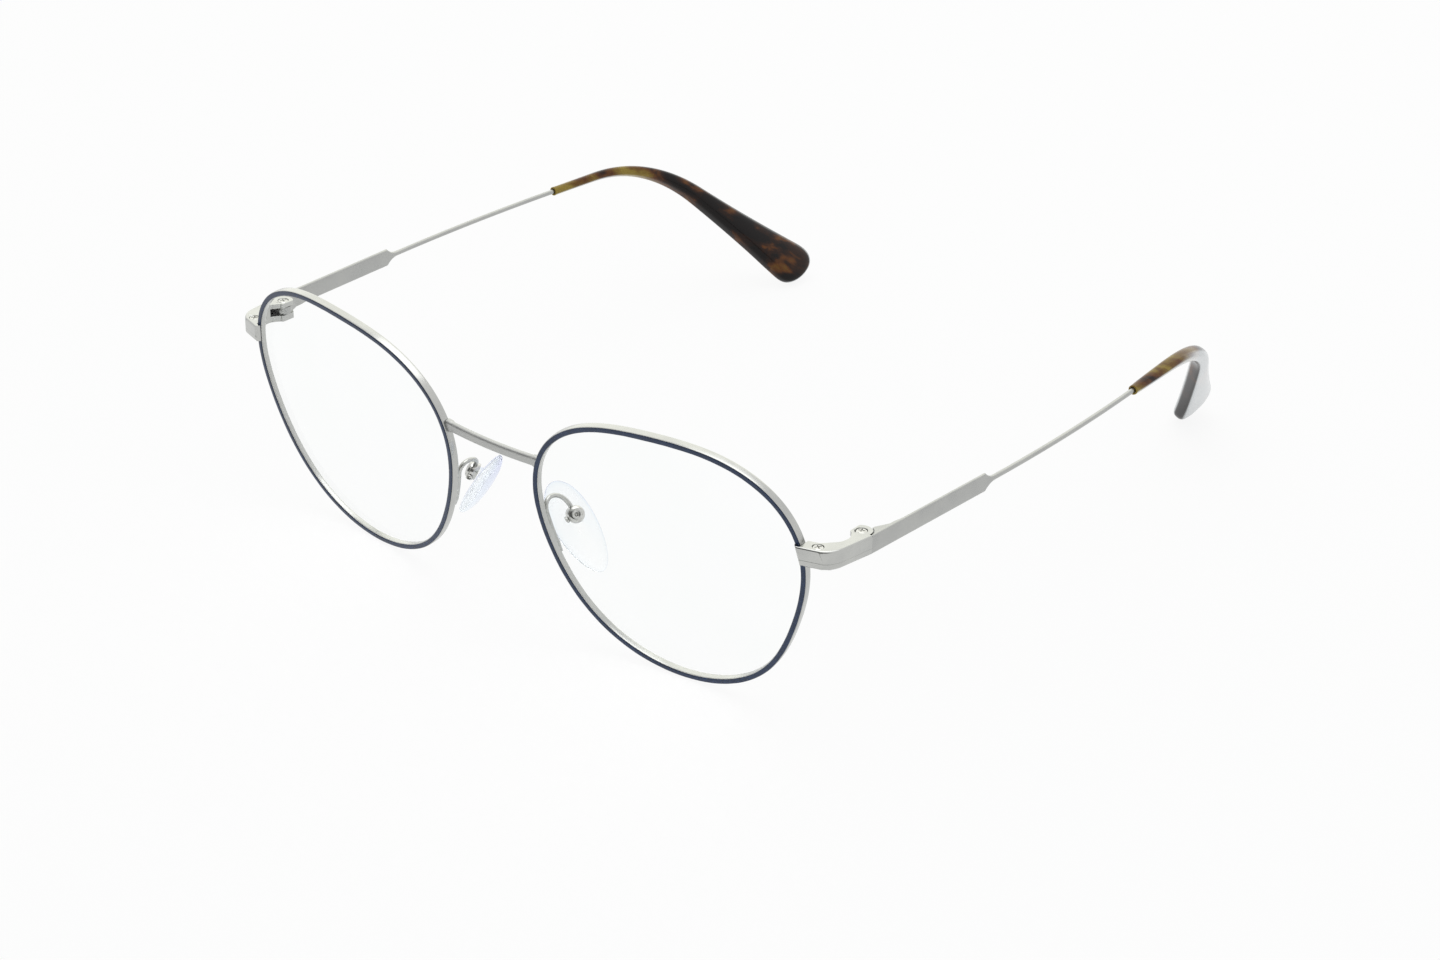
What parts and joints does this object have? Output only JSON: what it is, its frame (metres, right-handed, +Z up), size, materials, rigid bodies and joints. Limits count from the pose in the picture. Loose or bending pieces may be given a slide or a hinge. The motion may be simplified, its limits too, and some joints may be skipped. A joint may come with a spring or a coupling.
{
  "type": "eyeglasses",
  "caption": "Full rim metal eyeglasses with dark enamel rim fronts, clear lenses, screw hinges on folding temples, rocking nose pads and tortoise tips.",
  "frame": {"origin": "middle of the footprint, on the table that the open eyeglasses stand on", "axes": "+X across the face to the wearer's left, +Y back along the temples, +Z up; the lenses face -Y"},
  "size_m": [0.1366, 0.1522, 0.0471],
  "materials": {
    "silver_metal": "satin silver plating",
    "navy_enamel": "smooth dark blue enamel",
    "clear_lens": "clear, coated against reflections",
    "tortoise_acetate": "polished, dark brown with amber flecks",
    "clear_pad": "clear, soft, faintly blue",
    "steel_screw": "bright steel"
  },
  "bodies": {
    "front": {"bridge": "silver_metal", "rim_left": "silver_metal", "rim_right": "silver_metal", "enamel_left": "navy_enamel", "enamel_right": "navy_enamel", "lens_left": "clear_lens", "lens_right": "clear_lens", "endpiece_upper_left": "silver_metal", "endpiece_upper_right": "silver_metal", "endpiece_lower_left": "silver_metal", "endpiece_lower_right": "silver_metal", "closing_screw_left": "steel_screw", "closing_screw_right": "steel_screw", "hinge_screw_left": "steel_screw", "hinge_screw_right": "steel_screw", "pad_arm_left": "silver_metal", "pad_arm_right": "silver_metal", "pad_box_left": "silver_metal", "pad_box_right": "silver_metal", "pad_screw_left": "steel_screw", "pad_screw_right": "steel_screw"},
    "left_temple": {"temple_hinge_left": "silver_metal", "temple_bar_left": "silver_metal", "temple_tip_left": "tortoise_acetate"},
    "left_nose_pad": {"nose_pad_left": "clear_pad"},
    "right_temple": {"temple_hinge_right": "silver_metal", "temple_bar_right": "silver_metal", "temple_tip_right": "tortoise_acetate"},
    "right_nose_pad": {"nose_pad_right": "clear_pad"}
  },
  "joints": [
    {"name": "left_temple_hinge", "type": "hinge", "parent": "front", "child": "left_temple", "pos_m": [0.06424, -0.05969, 0.03301], "axis": [0, 0.0096, 1], "range_deg": [0, 85]},
    {"name": "left_pad_rock", "type": "hinge", "parent": "front", "child": "left_nose_pad", "pos_m": [0.01173, -0.06666, 0.02147], "axis": [0.3613, 0.8444, 0.3955], "range_deg": [-8, 8]},
    {"name": "right_temple_hinge", "type": "hinge", "parent": "front", "child": "right_temple", "pos_m": [-0.06424, -0.05969, 0.03301], "axis": [0, -0.0096, -1], "range_deg": [0, 73]},
    {"name": "right_pad_rock", "type": "hinge", "parent": "front", "child": "right_nose_pad", "pos_m": [-0.01173, -0.06666, 0.02147], "axis": [-0.3613, 0.8444, 0.3955], "range_deg": [-8, 8]}
  ]
}
